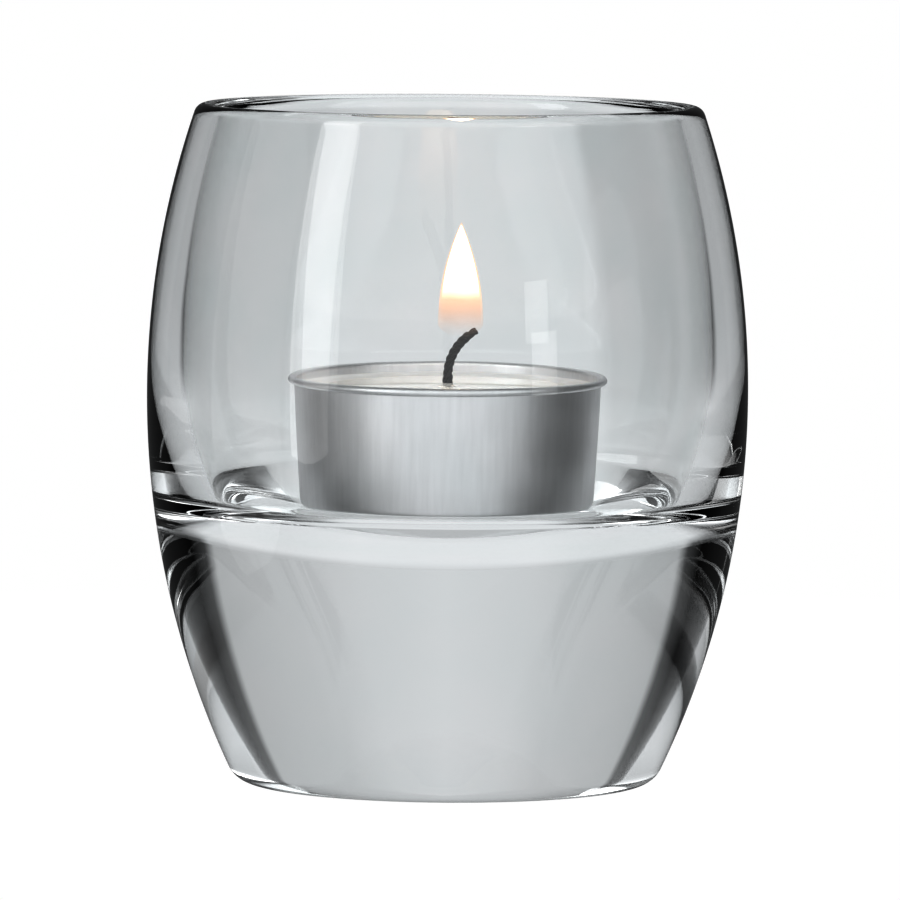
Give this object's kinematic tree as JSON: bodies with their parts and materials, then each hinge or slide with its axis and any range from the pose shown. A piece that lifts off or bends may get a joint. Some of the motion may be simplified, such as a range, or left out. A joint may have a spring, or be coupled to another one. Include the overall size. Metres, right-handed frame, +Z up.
{
  "type": "tealight holder",
  "caption": "Heavy clear glass barrel-shaped tealight holder: a thick solid foot, a deep dished bowl with a rounded rim, and a tealight standing in the bowl.",
  "frame": {"origin": "middle of the flat foot, on the surface that the holder stands on", "axes": "+Z up along the axis of the glass; +X towards the side the wick leans to, the viewer's right"},
  "size_m": [0.0724, 0.0724, 0.0819],
  "materials": {
    "clear_glass": "fire-polished, clear",
    "drawn_aluminium": "satin, drawn sheet",
    "paraffin_wax": "cast paraffin wax, soft sheen",
    "melted_wax": "liquid, glossy",
    "charred_cotton": "charred braid",
    "tinned_steel": "tinned, stamped"
  },
  "bodies": {
    "holder": {"glass_holder": "clear_glass"},
    "tealight": {"tealight_cup": "drawn_aluminium", "wax": "paraffin_wax", "melt_pool": "melted_wax", "wick": "charred_cotton", "wick_sustainer": "tinned_steel"}
  },
  "joints": [
    {"name": "tealight_lift", "type": "slide", "parent": "holder", "child": "tealight", "axis": [0, 0, 1], "range_m": [0, 0.06]}
  ]
}
